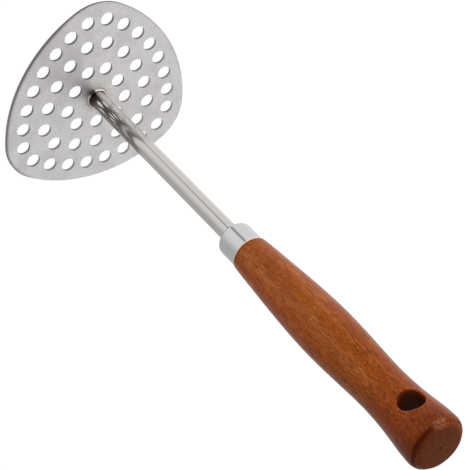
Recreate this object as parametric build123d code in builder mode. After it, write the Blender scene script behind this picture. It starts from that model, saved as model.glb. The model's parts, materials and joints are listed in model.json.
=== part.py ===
"""Potato masher: a perforated steel plate on a steel stem, with a ferrule and a turned handle.

Millimetres. The masher stands on its plate: the origin is the centre of the plate's underside,
+Z runs up the stem and handle, and one corner of the plate points along +Y.
"""

from build123d import *
from math import atan2, cos, degrees, radians, sin, sqrt, tan
import os

# Mashing plate
plate_thickness = 1.5
corner_count = 3
corner_reach = 53.4
corner_radius = 25.0
side_radius = 72.9
first_corner_azimuth = 90.0
plate_edge_round = 0.25

# Rings of mashing holes, each on a line at its own distance inside the outline
hole_diameter = 7.0
hole_margin = 9.05
ring_pitch = 11.67
ring_corner_radius = 6.0
holes_per_side = (8, 5, 3)

# Stem, a drawn tube
stem_diameter = 8.7
stem_wall = 0.8
stem_end_round = 0.2
stem_insertion = 52.0

# Weld bead round the foot of the stem, its crest standing clear of its seam with the stem
bead_width = 1.55
bead_height = 1.25
bead_crest_reach = 0.8
bead_seam_height = 0.55

# Ferrule, a spun cup that the neck of the handle fills
ferrule_diameter = 17.15
ferrule_wall = 0.6
ferrule_length = 13.5
ferrule_shoulder_radius = 1.6
ferrule_lip_round = 0.15
ferrule_stem_clearance = 0.15
ferrule_tenon_clearance = 0.05
tenon_end_gap = 0.6

# Handle, turned from one piece of wood
overall_height = 281.9
handle_length = 139.65
collar_diameter = 18.1
collar_round = 0.4
swell_diameter = 24.78
swell_rise = 62.5
waist_diameter = 22.1
waist_rise = 102.0
butt_diameter = 26.7
butt_corner_radius = 4.6
butt_crown_radius = 90.0
tenon_end_chamfer = 0.4

# Handle flanks between those stations, as shares of each rise and of each change of radius
lower_flank_shares = ((0.296, 0.42), (0.648, 0.83))
middle_flank_shares = ((0.56, 0.60),)
upper_flank_shares = ((0.53, 0.43),)
collar_slope_share = 0.10

# Turned groove on the rounded edge of the butt, its depth taken from the line across its edges,
# and the mark left by the lathe centre
groove_width = 1.9
groove_depth = 0.15
groove_angle = 45.0
centre_mark_diameter = 1.1
centre_mark_depth = 0.7

# Hanging hole across the handle, its centre below the top of the butt
hanging_hole_diameter = 11.0
hanging_hole_drop = 18.8
hanging_hole_azimuth = 100.8
hanging_hole_round = 0.8

# Glue between the stem and its bore in the handle
glue_thickness = 0.15
drill_point_angle = 118.0

# Every cut runs past the surface that it opens by this much
overrun = 2.0

stem_radius = stem_diameter / 2
ferrule_radius = ferrule_diameter / 2
collar_height = overall_height - handle_length
ferrule_bottom = collar_height - ferrule_length
stem_top = collar_height + stem_insertion
hanging_hole_height = overall_height - hanging_hole_drop
tenon_radius = ferrule_radius - ferrule_wall - ferrule_tenon_clearance
tenon_bottom = ferrule_bottom + ferrule_wall + tenon_end_gap
stem_bore_radius = stem_radius + glue_thickness

# The outline is a corner arc and a side arc in turn, each tangent to the next.
# A side arc's centre lies beyond the origin, on the far side from the arc.
sector_angle = 360 / corner_count
corner_sideways = (corner_reach - corner_radius) * sin(radians(sector_angle / 2))
corner_forwards = (corner_reach - corner_radius) * cos(radians(sector_angle / 2))
side_centre_reach = sqrt((side_radius - corner_radius) ** 2 - corner_sideways**2) - corner_forwards


def outline_sector(inset, corner_axis):
    """Draw the outline moved inward by inset, from the middle of one corner to that of the next."""
    round_radius = max(corner_radius - inset, ring_corner_radius)
    sideways = side_centre_reach * sin(radians(sector_angle / 2))
    backwards = side_centre_reach * cos(radians(sector_angle / 2))
    round_reach = sqrt((side_radius - inset - round_radius) ** 2 - sideways**2) - backwards
    round_sweep = degrees(atan2(sideways, backwards + round_reach))
    side_sweep = sector_angle - 2 * round_sweep
    side_axis = corner_axis + sector_angle / 2
    next_axis = corner_axis + sector_angle
    round_centre = Vector(round_reach, 0).rotate(Axis.Z, corner_axis)
    side_centre = Vector(-side_centre_reach, 0).rotate(Axis.Z, side_axis)
    next_centre = Vector(round_reach, 0).rotate(Axis.Z, next_axis)
    CenterArc(round_centre, round_radius, corner_axis, round_sweep)
    CenterArc(side_centre, side_radius - inset, side_axis - side_sweep / 2, side_sweep)
    CenterArc(next_centre, round_radius, next_axis - round_sweep, round_sweep)


os.makedirs("parts", exist_ok=True)

# Mashing plate: stamped sheet with three rings of evenly spaced holes
with BuildPart() as mashing_plate:
    with BuildSketch(Plane.XY):
        with BuildLine():
            for corner in range(corner_count):
                outline_sector(0, first_corner_azimuth + corner * sector_angle)
        make_face()
    extrude(amount=plate_thickness)
    rims = mashing_plate.edges().group_by(Axis.Z)
    fillet(rims[0] + rims[-1], plate_edge_round)
    for ring, hole_count in enumerate(holes_per_side):
        with BuildLine(mode=Mode.PRIVATE) as ring_line:
            outline_sector(hole_margin + ring * ring_pitch, first_corner_azimuth)
        ring_path = ring_line.wire()
        hole_places = [ring_path @ ((hole + 0.5) / hole_count) for hole in range(hole_count)]
        with BuildSketch(Plane.XY):
            with PolarLocations(0, corner_count):
                with Locations(*hole_places):
                    Circle(hole_diameter / 2)
        extrude(amount=plate_thickness, mode=Mode.SUBTRACT)
mashing_plate.part.label = "mashing_plate"
export_step(mashing_plate.part, "parts/mashing_plate.step")

# Stem: straight tube, butted on the plate and glued into the handle
with BuildPart() as stem_tube:
    with BuildSketch(Plane.XY.offset(plate_thickness)):
        Circle(stem_radius)
        Circle(stem_radius - stem_wall, mode=Mode.SUBTRACT)
    extrude(amount=stem_top - plate_thickness)
    top_rims = stem_tube.edges().group_by(Axis.Z)[-1]
    fillet(top_rims, stem_end_round)
stem_tube.part.label = "stem_tube"
export_step(stem_tube.part, "parts/stem_tube.step")

# Weld bead: a ridge round the joint of stem and plate, drawn through its toe, crest and seam
with BuildPart() as weld_bead:
    with BuildSketch(Plane.XZ):
        with BuildLine():
            root = (stem_radius, plate_thickness)
            toe = (stem_radius + bead_width, plate_thickness)
            crest = (stem_radius + bead_crest_reach, plate_thickness + bead_height)
            seam = (stem_radius, plate_thickness + bead_seam_height)
            Polyline(seam, root, toe)
            ThreePointArc(toe, crest, seam)
        make_face()
    revolve(axis=Axis.Z)
weld_bead.part.label = "weld_bead"
export_step(weld_bead.part, "parts/weld_bead.step")

# Ferrule: thin cup with a rounded shoulder, open towards the handle
with BuildPart() as ferrule:
    with BuildSketch(Plane.XY.offset(ferrule_bottom)):
        Circle(ferrule_radius)
    extrude(amount=ferrule_length)
    shoulder = ferrule.edges().group_by(Axis.Z)[0]
    fillet(shoulder, ferrule_shoulder_radius)
    mouth = ferrule.faces().sort_by(Axis.Z)[-1]
    offset(amount=-ferrule_wall, openings=mouth)
    with BuildSketch(Plane.XY.offset(ferrule_bottom)):
        Circle(stem_radius + ferrule_stem_clearance)
    extrude(amount=ferrule_wall + overrun, mode=Mode.SUBTRACT)
    lip = ferrule.edges().group_by(Axis.Z)[-1].sort_by(SortBy.LENGTH)[-1]
    fillet(lip, ferrule_lip_round)
ferrule.part.label = "ferrule"
export_step(ferrule.part, "parts/ferrule.step")

# Handle: turned profile with the neck that fills the ferrule and the blind bore for the stem
swell_radius = swell_diameter / 2
waist_radius = waist_diameter / 2
butt_radius = butt_diameter / 2
collar_radius = collar_diameter / 2
corner_centre_radius = butt_radius - butt_corner_radius
crown_centre_height = overall_height - butt_crown_radius
crown_to_corner = butt_crown_radius - butt_corner_radius
corner_centre_height = crown_centre_height + sqrt(crown_to_corner**2 - corner_centre_radius**2)
corner_direction = Vector(corner_centre_radius, corner_centre_height - crown_centre_height).normalized()
corner_end = Vector(0, crown_centre_height) + corner_direction * butt_crown_radius

collar = Vector(collar_radius, collar_height + collar_round)
swell = Vector(swell_radius, collar_height + swell_rise)
waist = Vector(waist_radius, collar_height + waist_rise)
butt = Vector(butt_radius, corner_centre_height)


def flank(start, end, shares):
    """Points on the way from one station to the next, as shares of the rise and of the radius."""
    across, rise = end.X - start.X, end.Y - start.Y
    return [(start.X + radius * across, start.Y + height * rise) for height, radius in shares]


handle_stations = [
    collar,
    *flank(collar, swell, lower_flank_shares),
    swell,
    *flank(swell, waist, middle_flank_shares),
    waist,
    *flank(waist, butt, upper_flank_shares),
    butt,
]
drill_tip = stem_top + stem_bore_radius / tan(radians(drill_point_angle / 2))

with BuildPart() as handle:
    with BuildSketch(Plane.XZ):
        with BuildLine():
            Polyline(
                (0, overall_height),
                (0, drill_tip),
                (stem_bore_radius, stem_top),
                (stem_bore_radius, tenon_bottom),
                (tenon_radius - tenon_end_chamfer, tenon_bottom),
                (tenon_radius, tenon_bottom + tenon_end_chamfer),
                (tenon_radius, collar_height),
                (collar_radius - collar_round, collar_height),
            )
            RadiusArc((collar_radius - collar_round, collar_height), collar, -collar_round)
            Spline(handle_stations, tangents=[(collar_slope_share, 1), (0, 1)])
            RadiusArc(butt, corner_end, -butt_corner_radius)
            RadiusArc(corner_end, (0, overall_height), -butt_crown_radius)
        make_face()
    revolve(axis=Axis.Z)

    # Groove turned into the rounded edge of the butt
    groove_radius = (groove_width**2 / 4 + groove_depth**2) / (2 * groove_depth)
    groove_edge_reach = sqrt(butt_corner_radius**2 - groove_width**2 / 4)
    groove_reach = groove_edge_reach + groove_radius - groove_depth
    groove_across = corner_centre_radius + groove_reach * cos(radians(groove_angle))
    groove_height = corner_centre_height + groove_reach * sin(radians(groove_angle))
    with BuildSketch(Plane.XZ):
        with Locations((groove_across, groove_height)):
            Circle(groove_radius)
    revolve(axis=Axis.Z, mode=Mode.SUBTRACT)

    # Mark left by the lathe centre
    mark_spread = centre_mark_diameter / 2 * (centre_mark_depth + overrun) / centre_mark_depth
    with BuildSketch(Plane.XZ):
        with BuildLine():
            Polyline(
                (0, overall_height - centre_mark_depth),
                (mark_spread, overall_height + overrun),
                (0, overall_height + overrun),
                close=True,
            )
        make_face()
    revolve(axis=Axis.Z, mode=Mode.SUBTRACT)

    # Hanging hole, eased at both mouths
    hole_direction = Vector(1, 0).rotate(Axis.Z, hanging_hole_azimuth)
    with BuildSketch(Plane(origin=(0, 0, hanging_hole_height), z_dir=hole_direction)):
        Circle(hanging_hole_diameter / 2)
    extrude(amount=butt_radius + overrun, both=True, mode=Mode.SUBTRACT)
    mouths = handle.edges(Select.LAST).filter_by(GeomType.BSPLINE)
    fillet(mouths, hanging_hole_round)
handle.part.label = "handle"
export_step(handle.part, "parts/handle.step")

# Glue: thin sleeve that holds the stem in its bore
with BuildPart() as stem_glue:
    with BuildSketch(Plane.XY.offset(tenon_bottom)):
        Circle(stem_bore_radius)
        Circle(stem_radius, mode=Mode.SUBTRACT)
    extrude(amount=stem_top - tenon_bottom)
stem_glue.part.label = "stem_glue"
export_step(stem_glue.part, "parts/stem_glue.step")
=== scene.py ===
"""Potato masher: looks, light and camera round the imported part. Metres, in the part's own frame."""

import json
import math

import bmesh
import bpy
from mathutils import Euler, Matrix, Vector, noise


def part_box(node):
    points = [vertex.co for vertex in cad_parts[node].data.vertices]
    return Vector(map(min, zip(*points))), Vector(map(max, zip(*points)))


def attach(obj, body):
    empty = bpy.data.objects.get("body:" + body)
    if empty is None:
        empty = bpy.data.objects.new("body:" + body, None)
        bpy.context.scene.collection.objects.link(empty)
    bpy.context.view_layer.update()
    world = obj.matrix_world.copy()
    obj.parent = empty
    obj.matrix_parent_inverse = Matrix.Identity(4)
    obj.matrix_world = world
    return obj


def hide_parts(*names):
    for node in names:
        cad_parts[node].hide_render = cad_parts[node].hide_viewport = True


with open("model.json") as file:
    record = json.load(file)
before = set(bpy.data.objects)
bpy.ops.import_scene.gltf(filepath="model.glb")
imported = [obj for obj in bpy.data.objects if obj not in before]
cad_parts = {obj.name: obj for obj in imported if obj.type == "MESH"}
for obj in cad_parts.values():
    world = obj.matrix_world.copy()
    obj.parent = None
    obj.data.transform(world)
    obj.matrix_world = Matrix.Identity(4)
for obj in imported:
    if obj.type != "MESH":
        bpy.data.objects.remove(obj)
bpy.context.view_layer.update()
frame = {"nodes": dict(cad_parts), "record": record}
nodes = frame["nodes"]
MM = 0.001

# Places read off the frame
plate_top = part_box("mashing_plate")[1].z
plate_corner_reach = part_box("mashing_plate")[1].y
stem_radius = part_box("stem_tube")[1].x
bead_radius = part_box("weld_bead")[1].x
bead_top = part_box("weld_bead")[1].z
collar_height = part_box("ferrule")[1].z
butt_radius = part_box("handle")[1].x
butt_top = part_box("handle")[1].z
mounts = {mount["name"]: mount for mount in frame["record"]["mounts"]}
hanging_hole = mounts["hanging_hole"]

# Sizes of the solids that their boxes don't give
plate_corner_radius = 25.0 * MM
plate_side_radius = 72.9 * MM
butt_corner_radius = 4.6 * MM
butt_crown_radius = 90.0 * MM

# The camera of the photograph, fitted to the holes of the plate, with angles in degrees
camera_lens = 142.2
camera_sensor = 36.0
camera_aim = Vector((0.9, 0.7, 128.0)) * MM
camera_distance = 828.7 * MM
camera_azimuth = 126.66
camera_elevation = 40.98
camera_roll = 135.44

# The middle azimuth of the lamps' side of the room, in degrees
lamp_azimuth = 50.0


def direction(azimuth, elevation):
    """The unit vector at an azimuth from +X and an elevation above the horizon, in degrees."""
    turn, rise = math.radians(azimuth), math.radians(elevation)
    return Vector((math.cos(rise) * math.cos(turn), math.cos(rise) * math.sin(turn), math.sin(rise)))


def make_camera():
    """The camera of the photograph, rolled so that the stem lies across the picture."""
    data = bpy.data.cameras.new("camera")
    data.lens = camera_lens
    data.sensor_width = camera_sensor
    camera = bpy.data.objects.new("camera", data)
    bpy.context.scene.collection.objects.link(camera)
    back = direction(camera_azimuth, camera_elevation)
    camera.location = camera_aim + back * camera_distance
    level = (-back).to_track_quat("-Z", "Y")
    roll = Euler((0, 0, math.radians(camera_roll))).to_quaternion()
    camera.rotation_mode = "QUATERNION"
    camera.rotation_quaternion = level @ roll
    bpy.context.scene.camera = camera


def srgb(red, green, blue):
    """A colour given as it looks on a screen, from 0 to 255, as the linear value that a shader takes."""
    def linear(level):
        level /= 255
        return level / 12.92 if level <= 0.04045 else ((level + 0.055) / 1.055) ** 2.4
    return (linear(red), linear(green), linear(blue), 1.0)


class Nodes:
    """A node tree in which each call adds nodes and returns an output. Places are in millimetres."""

    def __init__(self, tree):
        self.tree = tree

    def feed(self, socket, value):
        if isinstance(value, bpy.types.NodeSocket):
            self.tree.links.new(value, socket)
        else:
            socket.default_value = value

    def add(self, kind, output, inputs, **settings):
        made = self.tree.nodes.new("ShaderNode" + kind)
        for name, value in settings.items():
            setattr(made, name, value)
        for socket, value in inputs.items():
            self.feed(made.inputs[socket], value)
        return made.outputs[output]

    def math(self, operation, first, second=0.0, third=0.0):
        return self.add("Math", 0, {0: first, 1: second, 2: third}, operation=operation)

    def product(self, first, *others):
        for other in others:
            first = self.math("MULTIPLY", first, other)
        return first

    def vector_math(self, operation, first, second, output="Vector"):
        return self.add("VectorMath", output, {0: first, 1: second}, operation=operation)

    def scaled(self, vector, factor):
        return self.add("VectorMath", 0, {0: vector, "Scale": factor}, operation="SCALE")

    def length(self, vector):
        return self.add("VectorMath", "Value", {0: vector}, operation="LENGTH")

    def split(self, vector):
        made = self.tree.nodes.new("ShaderNodeSeparateXYZ")
        self.feed(made.inputs[0], vector)
        return made.outputs

    def join(self, x, y, z):
        return self.add("CombineXYZ", 0, {0: x, 1: y, 2: z})

    def step(self, value, low, high, from_value=0.0, to_value=1.0):
        """A smooth step from from_value at low to to_value at high."""
        inputs = {"Value": value, "From Min": low, "From Max": high}
        inputs |= {"To Min": from_value, "To Max": to_value}
        return self.add("MapRange", 0, inputs, interpolation_type="SMOOTHSTEP")

    def fade(self, value, low, high, from_value=1.0):
        """A smooth step down to zero."""
        return self.step(value, low, high, from_value, 0.0)

    def window(self, value, opens, open_from, open_to, closes):
        """One between open_from and open_to, and zero outside opens and closes."""
        return self.product(self.step(value, opens, open_from), self.fade(value, open_to, closes))

    def mix(self, factor, first, second, blend="MIX"):
        inputs = {"Factor": factor, 6: first, 7: second}
        return self.add("Mix", 2, inputs, data_type="RGBA", blend_type=blend)

    def tinted(self, factor, colour, tint):
        """A colour with each of its channels multiplied by a tint's."""
        return self.mix(factor, colour, (*tint, 1.0), "MULTIPLY")

    def shaded(self, factor, colour, light):
        """A colour multiplied by one number."""
        return self.mix(factor, colour, self.join(light, light, light), "MULTIPLY")

    def blend(self, factor, first, second):
        """A number that goes from first to second."""
        return self.add("Mix", 0, {"Factor": factor, 2: first, 3: second}, data_type="FLOAT")

    def noise(self, vector, scale, detail=2.0, roughness=0.5):
        inputs = {"Vector": vector, "Scale": scale, "Detail": detail, "Roughness": roughness}
        return self.add("TexNoise", "Fac", inputs)

    def stretched(self, vector, scales, detail, roughness=0.5):
        """Noise with a scale for each axis."""
        return self.noise(self.vector_math("MULTIPLY", vector, scales), 1.0, detail, roughness)

    def bump(self, height, distance):
        return self.add("Bump", 0, {"Height": height, "Distance": distance})

    def place(self):
        """The place on the object."""
        return self.scaled(self.add("TexCoord", "Object", {}), 1 / MM)

    def round_stem(self, place):
        """A place's distance from the stem's axis, its azimuth in radians and its height."""
        x, y, z = self.split(place)
        return self.length(self.join(x, y, 0.0)), self.math("ARCTAN2", y, x), z

    def normal_up(self):
        """How far the surface faces up, from -1 to 1."""
        return self.split(self.add("TexCoord", "Normal", {}))[2]

    def sector(self, turn, first, last, ease):
        """One between two azimuths in degrees, and zero beyond an easing of that many degrees."""
        middle, half = math.radians((first + last) / 2), math.radians((last - first) / 2)
        off = self.math("WRAP", self.math("SUBTRACT", turn, middle), math.pi, -math.pi)
        reach = math.radians(ease / 2)
        return self.fade(self.math("ABSOLUTE", off), half - reach, half + reach)

    def swing(self, turn, azimuth, middle, depth):
        """A number that is highest towards an azimuth in degrees and lowest on the far side."""
        off = self.math("SUBTRACT", turn, math.radians(azimuth))
        return self.math("MULTIPLY_ADD", self.math("COSINE", off), depth, middle)


def new_material(name):
    """A material, its nodes and its shader."""
    material = bpy.data.materials.new(name)
    material.use_nodes = True
    return material, Nodes(material.node_tree), material.node_tree.nodes["Principled BSDF"]


def paint(n, shader, tone, rough, relief, depth):
    """Feed a shader its colour, its roughness and a relief of that depth in millimetres."""
    n.feed(shader.inputs["Base Color"], tone)
    n.feed(shader.inputs["Roughness"], rough)
    n.feed(shader.inputs["Normal"], n.bump(relief, depth * MM))


def dress(piece, material):
    """Give a piece one material."""
    piece.data.materials.clear()
    piece.data.materials.append(material)


def plate_inset(n, reach, turn):
    """How far inside the plate's outline a place lies. The outline has three round corners, one of them
    along +Y, and three flatter sides that meet them smoothly."""
    corner_radius, side_radius = plate_corner_radius / MM, plate_side_radius / MM
    sixth_turn = math.radians(60)
    corner_middle = plate_corner_reach / MM - corner_radius
    middles_apart = side_radius - corner_radius
    side_middle = (math.sqrt(4 * middles_apart ** 2 - 3 * corner_middle ** 2) - corner_middle) / 2
    side_back, side_across = side_middle * math.cos(sixth_turn), side_middle * math.sin(sixth_turn)
    off = n.math("WRAP", n.math("SUBTRACT", turn, math.radians(90)), sixth_turn, -sixth_turn)
    along = n.product(reach, n.math("COSINE", off))
    aside = n.math("ABSOLUTE", n.product(reach, n.math("SINE", off)))
    past_corner = n.math("SUBTRACT", along, corner_middle)
    from_corner = n.length(n.join(past_corner, aside, 0.0))
    from_side = n.length(n.join(n.math("ADD", along, side_back), n.math("ADD", aside, side_across), 0.0))
    joint = math.atan2(side_across, corner_middle + side_back)
    cornered = n.math("LESS_THAN", n.math("ARCTAN2", aside, past_corner), joint)
    corner_inset = n.math("SUBTRACT", corner_radius, from_corner)
    side_inset = n.math("SUBTRACT", side_radius, from_side)
    return n.blend(cornered, side_inset, corner_inset)


def plate_steel():
    """Satin sheet: faint brushing, grain and smudges, the weld's heat tint, painted shade on the rolled
    edge, and walls painted darker, partly dull sheared steel and partly painted shade.
    """
    material, n, shader = new_material("plate_steel")
    shader.inputs["Metallic"].default_value = 1.0
    heat_reaches, edge_shade_insets = (5.4, 9.5), (0.3, 1.6)
    place = n.place()
    reach, turn, _ = n.round_stem(place)
    brushed = n.stretched(place, (0.03, 1.2, 1.0), 3.0, 0.6)
    cloud = n.noise(place, 0.05, 2.0)
    smudge = n.noise(place, 0.10, 4.0, 0.6)
    grain = n.noise(place, 1.1, 2.0)
    tone = n.mix(brushed, srgb(203, 201, 200), srgb(215, 213, 212))
    tone = n.mix(n.step(cloud, 0.35, 0.65, 0.0, 0.5), tone, srgb(204, 201, 200))
    tone = n.mix(n.step(smudge, 0.44, 0.62, 0.0, 0.32), tone, srgb(178, 175, 176))
    tone = n.mix(n.step(grain, 0.40, 0.62, 0.0, 0.28), tone, srgb(178, 176, 176))
    tone = n.mix(n.fade(reach, *heat_reaches, 0.42), tone, srgb(178, 160, 152))
    # Painted shade on the rolled-over cut edge, plain on one side and faint on the next
    edge_shade_share = n.blend(n.sector(turn, 0, 110, 16), 0.0, 0.18)
    edge_shade_share = n.blend(n.sector(turn, 110, 222, 16), edge_shade_share, 0.8)
    edge = n.fade(plate_inset(n, reach, turn), *edge_shade_insets)
    tone = n.mix(n.product(edge, edge_shade_share), tone, srgb(122, 120, 120))
    # Walls painted darker: partly dull sheared steel, partly painted shade
    dull_shaded_wall = n.fade(n.math("ABSOLUTE", n.normal_up()), 0.35, 0.75)
    tone = n.mix(dull_shaded_wall, tone, srgb(150, 149, 149))
    rough = n.math("ADD", n.step(brushed, 0.3, 0.7, 0.42, 0.50), n.product(dull_shaded_wall, 0.15))
    paint(n, shader, tone, rough, brushed, 0.002)
    return material


def stem_steel():
    """Smooth drawn tube, browned by the weld at its foot, and on one side darkened there as a painted dark
    reflection too.
    """
    material, n, shader = new_material("stem_steel")
    shader.inputs["Metallic"].default_value = 1.0
    tint_heights, brown_heights, stain_and_reflection_heights = (0.8, 3.0), (2.0, 10.0), (2.0, 9.0)
    place = n.place()
    _, turn, z = n.round_stem(place)
    above_plate = n.math("SUBTRACT", z, plate_top / MM)
    drawn = n.stretched(place, (2.5, 2.5, 0.05), 3.0, 0.6)
    tone = n.mix(drawn, srgb(198, 194, 191), srgb(206, 202, 200))
    tone = n.mix(n.fade(above_plate, *tint_heights, 0.7), tone, srgb(120, 96, 86))
    tone = n.mix(n.fade(above_plate, *brown_heights, 0.45), tone, srgb(164, 156, 152))
    # Brown heat stain low on one side of the foot, with a painted dark reflection there too
    heat_stain_and_dark_reflection = n.product(n.sector(turn, 113, 215, 8), n.fade(above_plate, *stain_and_reflection_heights, 0.95))
    tone = n.mix(heat_stain_and_dark_reflection, tone, srgb(84, 62, 54))
    paint(n, shader, tone, n.step(drawn, 0.3, 0.7, 0.07, 0.10), drawn, 0.002)
    shader.inputs["Anisotropic"].default_value = 0.85
    shader.inputs["Anisotropic Rotation"].default_value = 0.25
    n.feed(shader.inputs["Tangent"], n.add("Tangent", 0, {}, direction_type="RADIAL", axis="Z"))
    return material


def ferrule_steel():
    """Spun cup with a soft polish."""
    material, n, shader = new_material("ferrule_steel")
    shader.inputs["Metallic"].default_value = 1.0
    spun = n.stretched(n.place(), (0.15, 0.15, 3.0), 3.0, 0.6)
    tone = n.mix(spun, srgb(200, 201, 203), srgb(208, 208, 210))
    paint(n, shader, tone, n.step(spun, 0.3, 0.7, 0.10, 0.15), spun, 0.002)
    return material


def weld_steel():
    """Bright weld with a dull toe, a heat-tinted seam against the stem that is darkened as painted shade in
    the crevice, and a painted shadow across it on one side.
    """
    material, n, shader = new_material("weld_steel")
    shader.inputs["Metallic"].default_value = 0.55
    toe_heights, seam_tint_and_shade_widths = (0.12, 0.60), (0.05, 0.38)
    place = n.place()
    reach, turn, z = n.round_stem(place)
    above_plate = n.math("SUBTRACT", z, plate_top / MM)
    off_stem = n.math("SUBTRACT", reach, stem_radius / MM)
    grain = n.noise(place, 1.2, 3.0)
    tone = n.mix(grain, srgb(244, 238, 235), srgb(228, 219, 215))
    toe = n.product(n.fade(above_plate, *toe_heights), n.blend(n.sector(turn, 0, 176, 30), 0.4, 0.8))
    tone = n.mix(toe, tone, srgb(132, 120, 116))
    # Heat-tinted seam against the stem, darkened as painted shade in the crevice
    seam_tint_and_shade = n.product(n.fade(off_stem, *seam_tint_and_shade_widths, 0.9), n.blend(n.sector(turn, 113, 158, 30), 0.35, 1.0))
    tone = n.mix(seam_tint_and_shade, tone, srgb(104, 78, 68))
    # Painted shadow across the weld on one side
    tone = n.mix(n.product(n.sector(turn, 107, 143, 8), 0.92), tone, srgb(84, 75, 71))
    paint(n, shader, tone, n.step(grain, 0.3, 0.7, 0.20, 0.32), grain, 0.012)
    return material


def glue():
    """Cured adhesive, out of sight between the stem and its bore."""
    material, n, shader = new_material("glue")
    lumps = n.noise(n.place(), 0.8, 2.0)
    n.feed(shader.inputs["Base Color"], n.mix(lumps, srgb(190, 170, 130), srgb(170, 148, 104)))
    n.feed(shader.inputs["Roughness"], n.step(lumps, 0.3, 0.7, 0.5, 0.65))
    return material


class Wood:
    """The handle's wood, with the coordinates and noises that its layers share. Each layer takes the colour
    so far and returns the next."""

    # The heights between which the wood changes, in millimetres above the plate's underside
    streak_heights = (168, 195, 246, 258)
    extra_pore_heights = (222, 236)
    pore_heights = (190, 235)
    pore_end_heights = (252, 262)
    pale_heights = (196, 228)
    sheen_band_heights = (234, 250)
    red_heights = (200, 225)
    speckle_heights = (225, 248)
    butt_shade_heights = (235, 262)
    crown_shade_heights = (264, 277)
    warm_heights = (240, 262)

    def __init__(self, n):
        self.n = n
        self.place = n.place()
        self.reach, self.turn, self.z = n.round_stem(self.place)
        self.sway = n.stretched(self.place, (0.05, 0.05, 0.02), 1.0)
        self.warped = n.vector_math("ADD", self.place, n.scaled(n.join(self.sway, self.sway, 0.0), 6.0))
        self.fibre = n.stretched(self.warped, (1.2, 1.2, 0.09), 4.0, 0.65)
        self.strand = n.stretched(self.warped, (2.8, 2.8, 0.5), 2.0, 0.6)
        self.scuff = n.noise(self.place, 1.4, 3.0, 0.7)
        self.end = n.step(n.normal_up(), 0.50, 0.85)
        self.drift = n.stretched(self.place, (0.22, 0.22, 0.03), 2.0)
        self.pore = self.coarse_pores()

    def dashes(self, vector, across, along, share):
        """Short dashes along the grain, in a share of cells of that size in millimetres."""
        n = self.n
        sized = n.vector_math("MULTIPLY", vector, (1 / across, 1 / across, 1 / along))
        cells = n.tree.nodes.new("ShaderNodeTexVoronoi")
        n.feed(cells.inputs["Vector"], sized)
        cells.inputs["Scale"].default_value = 1.0
        present = n.math("LESS_THAN", n.split(cells.outputs["Color"])[0], share)
        return n.product(n.fade(cells.outputs["Distance"], 0.12, 0.34), present)

    def coarse_pores(self):
        """Open pores in drifts, with more of them on one side near the butt."""
        n = self.n
        extra = n.step(self.z, *self.extra_pore_heights, 0.0, 0.45)
        extra = n.product(n.sector(self.turn, 84, 124, 16), extra)
        share = n.math("ADD", n.step(self.drift, 0.42, 0.62, 0.10, 0.6), extra)
        return self.dashes(self.warped, 0.6, 7.0, share)

    def ground(self):
        """The ground colour, with broad figure, an orange streak up one side, mottle, fibres and strands."""
        n = self.n
        figure = n.stretched(self.warped, (0.11, 0.11, 0.014), 2.0)
        mottle = n.stretched(self.place, (0.42, 0.42, 0.2), 3.0, 0.6)
        swayed = n.math("MULTIPLY_ADD", self.sway, 0.5, n.math("SUBTRACT", self.turn, 0.25))
        streak = n.product(n.sector(swayed, 103, 119, 14), n.window(self.z, *self.streak_heights), 0.9)
        tone = n.mix(n.step(figure, 0.40, 0.60), srgb(156, 75, 22), srgb(172, 92, 34))
        tone = n.mix(streak, tone, srgb(162, 80, 8))
        tone = n.mix(n.step(mottle, 0.36, 0.64, 0.0, 0.55), tone, srgb(142, 64, 18))
        tone = n.mix(n.step(self.fibre, 0.50, 0.68, 0.0, 0.80), tone, srgb(116, 50, 10))
        tone = n.mix(n.fade(self.fibre, 0.30, 0.46, 0.55), tone, srgb(190, 108, 50))
        tone = n.mix(n.product(streak, 0.55), tone, srgb(162, 80, 0))
        tone = n.mix(n.step(self.strand, 0.50, 0.72, 0.0, 0.55), tone, srgb(108, 46, 10))
        return n.mix(n.fade(self.strand, 0.30, 0.48, 0.45), tone, srgb(196, 116, 60))

    def add_pores(self, tone):
        """Fine and coarse pores, more marked towards the butt, and a few pale flecks of painted glint."""
        n = self.n
        fine = self.dashes(self.warped, 0.45, 5.0, n.step(self.drift, 0.40, 0.60, 0.3, 0.7))
        # Pale flecks are painted glints along the grain
        glint_spread = n.stretched(self.place, (0.16, 0.16, 0.05), 1.0)
        glint_fleck = self.dashes(n.scaled(self.warped, 1.07), 0.55, 10.0, n.step(glint_spread, 0.56, 0.68, 0.02, 0.75))
        fine = n.product(fine, n.step(self.z, *self.pore_heights, 0.45, 0.7))
        coarse = n.product(self.pore, n.step(self.z, *self.pore_heights, 0.35, 0.95))
        coarse = n.product(coarse, n.step(self.z, *self.pore_end_heights, 1.0, 0.3))
        tone = n.mix(fine, tone, srgb(82, 30, 4))
        tone = n.mix(coarse, tone, srgb(64, 22, 2))
        return n.mix(n.product(glint_fleck, 0.6), tone, srgb(214, 146, 92))

    def add_drift(self, tone):
        """The colour drifts: paler on one side near the ferrule, a greyish band of painted sheen on one
        side, redder towards the butt and darker there as painted shade, with a fine speckle that is
        strongest round the hanging hole."""
        n = self.n
        pale = n.product(n.sector(self.turn, 148, 240, 30), n.fade(self.z, *self.pale_heights))
        tone = n.tinted(pale, tone, (1.28, 1.18, 1.1))
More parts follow.
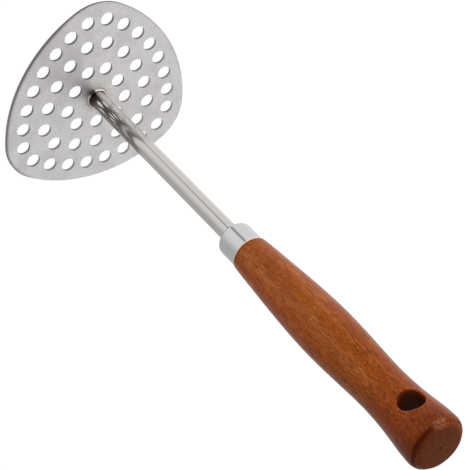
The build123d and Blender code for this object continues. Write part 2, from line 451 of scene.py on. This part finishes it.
        # A greyish band of painted sheen on one side
        band = n.product(n.sector(self.turn, 130, 152, 14), n.fade(self.z, *self.sheen_band_heights))
        tone = n.tinted(band, tone, (1.15, 1.28, 1.7))
        red = n.product(n.step(self.z, *self.red_heights), n.step(band, 0.0, 1.0, 1.0, 0.2))
        tone = n.tinted(red, tone, (1.0, 0.90, 0.62))
        tone = n.tinted(n.product(red, n.sector(self.turn, 20, 114, 20)), tone, (0.90, 0.90, 0.75))
        speckle = n.stretched(self.warped, (1.7, 1.7, 0.45), 3.0, 0.7)
        speckled = n.step(self.z, *self.speckle_heights, 0.35, 1.0)
        tone = n.shaded(speckled, tone, n.step(speckle, 0.38, 0.62, 0.78, 1.24))
        # Painted shade, darker towards the butt and darker still on its crown
        butt_shade = n.step(self.z, *self.butt_shade_heights, 1.0, 0.76)
        butt_shade = n.product(butt_shade, n.step(self.z, *self.crown_shade_heights, 1.0, 0.72))
        tone = n.shaded(1.0, tone, butt_shade)
        return n.tinted(n.step(self.z, *self.warm_heights), tone, (1.14, 0.94, 0.7))

    def add_end_grain_and_shade(self, tone):
        """Darker end grain on the crown of the butt, partly its own colour and partly painted shade on the
        upward-facing crown.
        """
        n = self.n
        rays = n.stretched(self.place, (0.5, 2.2, 0.0), 3.0, 0.6)
        grain = n.mix(n.step(rays, 0.36, 0.64), srgb(90, 36, 0), srgb(118, 52, 0))
        return n.mix(n.product(self.end, 0.95), tone, grain)

    def butt_slope(self):
        """Where the butt's rounded corner faces: at 0 degrees straight out and at 90 straight up."""
        n = self.n
        corner, crown = butt_corner_radius / MM, butt_crown_radius / MM
        corner_reach = butt_radius / MM - corner
        crown_drop = crown - math.sqrt((crown - corner) ** 2 - corner_reach ** 2)
        out = n.math("SUBTRACT", self.reach, corner_reach)
        up = n.math("SUBTRACT", self.z, butt_top / MM - crown_drop)
        return n.math("DEGREES", n.math("ARCTAN2", up, out))

    def add_groove(self, tone):
        """The turned groove in the butt's rounded corner. It is painted dark on one side, pale speckles and
        specks of painted highlight lie round it on others, and on the rest it is worn so shallow that it
        hardly shows, with painted light on its walls there. Returns the colour and how far relief fills the
        groove, from 0 to 1."""
        n = self.n
        low, high, ease, half_fill = 29, 59, 5, 11.8
        highlight_low, highlight_high = 8, 80
        speck_low, speck_high = 16, 72
        lower_lit_slopes, upper_lit_slopes = (24, 34, 40, 50), (high - ease, high, 68, 86)
        slope = self.butt_slope()
        groove = n.window(slope, low, low + ease, high - ease, high)
        # Painted dark in the groove on one side
        tone = n.mix(n.product(groove, n.sector(self.turn, 112, 212, 10), 0.92), tone, srgb(82, 22, 0))
        # Pale speckles of painted highlight round the groove on one side, broken up like scuffs
        highlight_speckle = n.window(slope, highlight_low, low, high, highlight_high)
        highlight_speckle = n.product(highlight_speckle, n.step(self.scuff, 0.42, 0.60))
        tone = n.mix(n.product(highlight_speckle, n.sector(self.turn, 80, 108, 12), 0.75), tone, srgb(160, 104, 80))
        # Pale specks of painted highlight round the groove on another side
        highlight_specks = n.window(slope, speck_low, low, high, speck_high)
        highlight_specks = n.product(highlight_specks, n.step(self.scuff, 0.56, 0.64), n.math("SUBTRACT", 1.0, groove))
        tone = n.mix(n.product(highlight_specks, n.sector(self.turn, 176, 226, 12), 0.7), tone, srgb(186, 128, 88))
        # Where the groove is worn shallow, painted light lifts its shaded walls
        shallow = n.sector(self.turn, -70, 97, 14)
        tone = n.tinted(n.product(shallow, n.window(slope, *upper_lit_slopes)), tone, (1.35, 1.30, 1.25))
        tone = n.tinted(n.product(shallow, n.window(slope, *lower_lit_slopes)), tone, (1.32, 1.22, 1.1))
        off_middle = n.math("DIVIDE", n.math("SUBTRACT", slope, (low + high) / 2), half_fill)
        fill = n.math("MAXIMUM", n.math("SUBTRACT", 1.0, n.product(off_middle, off_middle)), 0.0)
        return tone, n.product(fill, shallow)

    def add_centre_mark(self, tone):
        """The dark mark of the lathe's centre."""
        n = self.n
        mark_reaches, raggedness = (1.1, 1.6), 1.2
        ragged = n.math("ADD", self.reach, n.product(self.scuff, raggedness))
        return n.mix(n.product(n.fade(ragged, *mark_reaches), self.end), tone, srgb(12, 2, 0))

    def add_hole(self, tone):
        """The hanging hole: a painted highlight, broken by scuffs, on the rim above its mouths, and a dark
        ring round them and a dark inside, both partly scorch and partly painted shade.
        """
        n = self.n
        wall_widths, scorch_and_shade_widths, rim_highlight_widths = (0.01, 0.10), (0.30, 0.65), (0.75, 1.0)
        rim_highlight_heights, mouth_reaches = (0.5, 3.0), (9.0, 12.2)
        bore = hanging_hole["dims"]["r_mm"]
        arm = n.vector_math("SUBTRACT", self.place, tuple(Vector(hanging_hole["pos_m"]) / MM))
        from_axis = n.length(n.vector_math("CROSS_PRODUCT", arm, tuple(hanging_hole["axis"])))
        past_bore = n.math("SUBTRACT", from_axis, bore)
        above = n.split(arm)[2]
        # Painted highlight on the rim above the mouths, broken by scuffs
        rim_highlight = n.product(n.fade(past_bore, *rim_highlight_widths), n.step(above, *rim_highlight_heights, 0.0, 0.55))
        rim_highlight = n.product(rim_highlight, n.step(self.scuff, 0.42, 0.60, 0.1, 1.0))
        tone = n.mix(rim_highlight, tone, srgb(168, 112, 86))
        # Dark ring round the mouths and dark inside: partly scorch, partly painted shade
        tone = n.mix(n.fade(past_bore, *scorch_and_shade_widths, 0.95), tone, srgb(92, 22, 2))
        scorched_shaded_inside = n.mix(n.step(self.reach, *mouth_reaches, 0.0, 0.9), srgb(90, 38, 12), srgb(138, 50, 12))
        return n.mix(n.fade(past_bore, *wall_widths), tone, scorched_shaded_inside)

    def add_ferrule_edge(self, tone):
        """A pale edge beside the ferrule, with a painted shadow line beyond it."""
        n = self.n
        pale_edge_widths, shadow_line_widths = (0.75, 1.1), (1.3, 2.4)
        past_ferrule = n.math("SUBTRACT", self.z, collar_height / MM)
        # Painted shadow line beyond the pale edge
        tone = n.mix(n.fade(past_ferrule, *shadow_line_widths, 0.6), tone, srgb(104, 42, 14))
        return n.mix(n.fade(past_ferrule, *pale_edge_widths, 0.95), tone, srgb(250, 222, 198))


def handle_wood():
    """Red-brown hardwood with an orange figure, short open pores and an oiled sheen."""
    relief_depth, fill_depth = 0.04, 0.15
    material, n, shader = new_material("handle_wood")
    shader.inputs["Specular IOR Level"].default_value = 0.11
    wood = Wood(n)
    tone = wood.add_pores(wood.ground())
    tone = wood.add_drift(tone)
    tone = wood.add_end_grain_and_shade(tone)
    tone, fill = wood.add_groove(tone)
    tone = wood.add_centre_mark(tone)
    tone = wood.add_hole(tone)
    tone = wood.add_ferrule_edge(tone)
    rough = n.math("ADD", n.step(wood.fibre, 0.3, 0.7, 0.20, 0.30), n.product(wood.end, 0.3))
    relief = n.product(n.math("ADD", wood.fibre, wood.strand), 0.4)
    relief = n.math("SUBTRACT", relief, wood.pore)
    relief = n.math("ADD", relief, n.product(fill, fill_depth / relief_depth))
    paint(n, shader, tone, rough, relief, relief_depth)
    return material


def weld_height(angle, reach):
    """The height of the weld's surface above the plate, at an angle in radians and a distance from the
    stem's axis: a rippled lip with a fillet on both sides, which climbs the stem on its inner side."""
    skin = 0.05 * MM
    crest_reach, lip_half_width, lip_sharpness = stem_radius + 0.66 * MM, 0.54 * MM, 3.2
    lip_rise, seam_rise, seam_width = bead_top - plate_top - 0.06 * MM, 0.45 * MM, 0.12 * MM
    fillet_rise, fillet_spread = 0.16 * MM, 1.6
    ripples, ripple_rise, ripple_lean = 46, 0.03 * MM, 1.6
    wander_rate, wander_width = 1.8, 0.12 * MM
    swell_rate, swell_share, swell_seed = 3.1, 0.12, Vector((0, 0, 5))
    dent_azimuth, dent_spread, dent_depth = 84, 24, 0.25 * MM

    out = Vector((math.cos(angle), math.sin(angle), 0))
    wander = noise.noise(out * wander_rate) * wander_width
    wander -= dent_depth * math.exp(-((math.degrees(angle) - dent_azimuth) / dent_spread) ** 2)
    swell = 1 + noise.noise(out * swell_rate + swell_seed) * swell_share
    off = (reach - crest_reach - wander) / lip_half_width
    lip = math.exp(-abs(off) ** lip_sharpness)
    fillet = fillet_rise * math.exp(-abs(off) / fillet_spread)
    climb = seam_rise / (1 + math.exp((reach - crest_reach) / seam_width))
    ripple = ripple_rise * lip * math.cos(ripples * angle + ripple_lean * off)
    lift = max(lip_rise * swell * lip, climb) + fillet * (1 - lip)
    return min(lift, bead_top - plate_top - skin) + ripple


def make_weld():
    """A rippled lip of weld round the foot of the stem, in place of the plain bead."""
    around, steps = 360, 26
    toe_sink, foot_sink = 0.02 * MM, 0.05 * MM
    toe, foot = bead_radius, stem_radius - foot_sink
    made = bmesh.new()
    rings = []
    for turn in range(around):
        angle = 2 * math.pi * turn / around
        out = Vector((math.cos(angle), math.sin(angle), 0))
        ring = []
        for place in range(steps):
            reach = toe + (foot - toe) * (place / (steps - 1))
            height = weld_height(angle, reach) if place else -toe_sink
            ring.append(made.verts.new(out * reach + Vector((0, 0, plate_top + height))))
        rings.append(ring)
    for turn in range(around):
        here, after = rings[turn], rings[(turn + 1) % around]
        for place in range(steps - 1):
            made.faces.new((here[place], after[place], after[place + 1], here[place + 1]))
    bmesh.ops.recalc_face_normals(made, faces=made.faces)
    mesh = bpy.data.meshes.new("weld")
    made.to_mesh(mesh)
    made.free()
    mesh.shade_smooth()
    weld = bpy.data.objects.new("weld", mesh)
    bpy.context.scene.collection.objects.link(weld)
    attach(weld, "root")
    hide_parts("weld_bead")
    dress(weld, weld_steel())


def by_ray(n, rays, camera, mirrored, soft):
    """A strength for each kind of ray: what the camera sees, what polished metal mirrors and what lights
    everything else."""
    strength = n.blend(rays["Is Glossy Ray"], soft, mirrored)
    return n.blend(rays["Is Camera Ray"], strength, camera)


def make_floor():
    """A pale floor that is white to the camera apart from the object's soft shadow."""
    half_side, drop = 3.0, 0.2 * MM
    plate_reaches, table_reaches, close_lengths = (50.0, 56.0), (70.0, 150.0), (3.0, 6.0)
    mesh = bpy.data.meshes.new("floor")
    corners = [(-half_side, -half_side, 0), (half_side, -half_side, 0)]
    corners += [(half_side, half_side, 0), (-half_side, half_side, 0)]
    mesh.from_pydata(corners, [], [(0, 1, 2, 3)])
    floor = bpy.data.objects.new("floor", mesh)
    floor.location.z = -drop
    bpy.context.scene.collection.objects.link(floor)
    material = bpy.data.materials.new("floor")
    material.use_nodes = True
    material.cycles.emission_sampling = "NONE"
    tree = material.node_tree
    tree.nodes.clear()
    n = Nodes(tree)
    reach, turn, _ = n.round_stem(n.place())
    rays = tree.nodes.new("ShaderNodeLightPath").outputs
    # Polished metal mirrors a pale table, dimmer on one half and with the gap beside the lamps
    beside = n.blend(n.sector(turn, 165, 325, 60), 1.0, 0.60)
    beside = n.blend(n.sector(turn, 89, 101, 10), beside, n.step(reach, *table_reaches, 0.58, 0.30))
    # Under the plate the table is seen through the holes, and from close by in their walls
    beneath = n.blend(n.sector(turn, 95, 190, 20), 0.75, 1.0)
    beneath = n.blend(n.sector(turn, 200, 310, 20), beneath, 0.2)
    close = n.fade(n.product(rays["Ray Length"], 1 / MM), *close_lengths)
    beneath = n.blend(close, beneath, n.swing(turn, 300.0, 0.9, 0.3))
    mirrored = n.blend(n.step(reach, *plate_reaches), beneath, beside)
    # What lights the object from below is brighter towards the lamps
    soft = n.swing(turn, lamp_azimuth, 0.62, 0.25)
    glow = n.add("Emission", 0, {"Color": (1, 1, 1, 1), "Strength": by_ray(n, rays, 0.92, mirrored, soft)})
    shade = n.mix(rays["Is Camera Ray"], (0, 0, 0, 1), (0.25, 0.25, 0.25, 1))
    surface = n.add("AddShader", 0, {0: glow, 1: n.add("BsdfDiffuse", 0, {"Color": shade})})
    output = tree.nodes.new("ShaderNodeOutputMaterial")
    tree.links.new(surface, output.inputs["Surface"])
    mesh.materials.append(material)


def make_world():
    """A white backdrop and a soft room with its lamps on one side. Polished metal mirrors the lamps, a dark
    gap beside them and a dimmer far side, and a more even band with its own gap near the horizon."""
    band_tops = math.sin(math.radians(18)), math.sin(math.radians(34))
    world = bpy.data.worlds.new("studio")
    bpy.context.scene.world = world
    world.use_nodes = True
    world.cycles.sampling_method = "NONE"
    tree = world.node_tree
    tree.nodes.clear()
    n = Nodes(tree)
    sight = n.add("TexCoord", "Generated", {})
    x, y, z = n.split(sight)
    turn = n.math("ARCTAN2", y, x)
    rays = tree.nodes.new("ShaderNodeLightPath").outputs
    towards_lamps = n.vector_math("DOT_PRODUCT", sight, tuple(direction(lamp_azimuth, 5.0)), "Value")
    soft = n.product(n.step(towards_lamps, -0.4, 1.0, 0.42, 1.7), n.step(z, 0.35, 0.95, 1.0, 0.3))
    mirrored = n.blend(n.sector(turn, -85, 80, 6), 0.4, 1.1)
    mirrored = n.blend(n.sector(turn, 20, 80, 6), mirrored, 2.2)
    mirrored = n.blend(n.sector(turn, 82, 188, 6), mirrored, 0.02)
    near_horizon = n.fade(z, *band_tops)
    band = n.blend(n.sector(turn, 82, 160, 12), 0.7, 0.05)
    mirrored = n.blend(near_horizon, mirrored, band)
    strength = by_ray(n, rays, 1.0, mirrored, soft)
    background = n.add("Background", 0, {"Color": (1, 1, 1, 1), "Strength": strength})
    output = tree.nodes.new("ShaderNodeOutputWorld")
    tree.links.new(background, output.inputs["Surface"])


make_camera()
make_world()
make_floor()
dress(nodes["mashing_plate"], plate_steel())
dress(nodes["stem_tube"], stem_steel())
dress(nodes["ferrule"], ferrule_steel())
dress(nodes["handle"], handle_wood())
dress(nodes["stem_glue"], glue())
make_weld()

bpy.context.scene.view_settings.view_transform = "Standard"
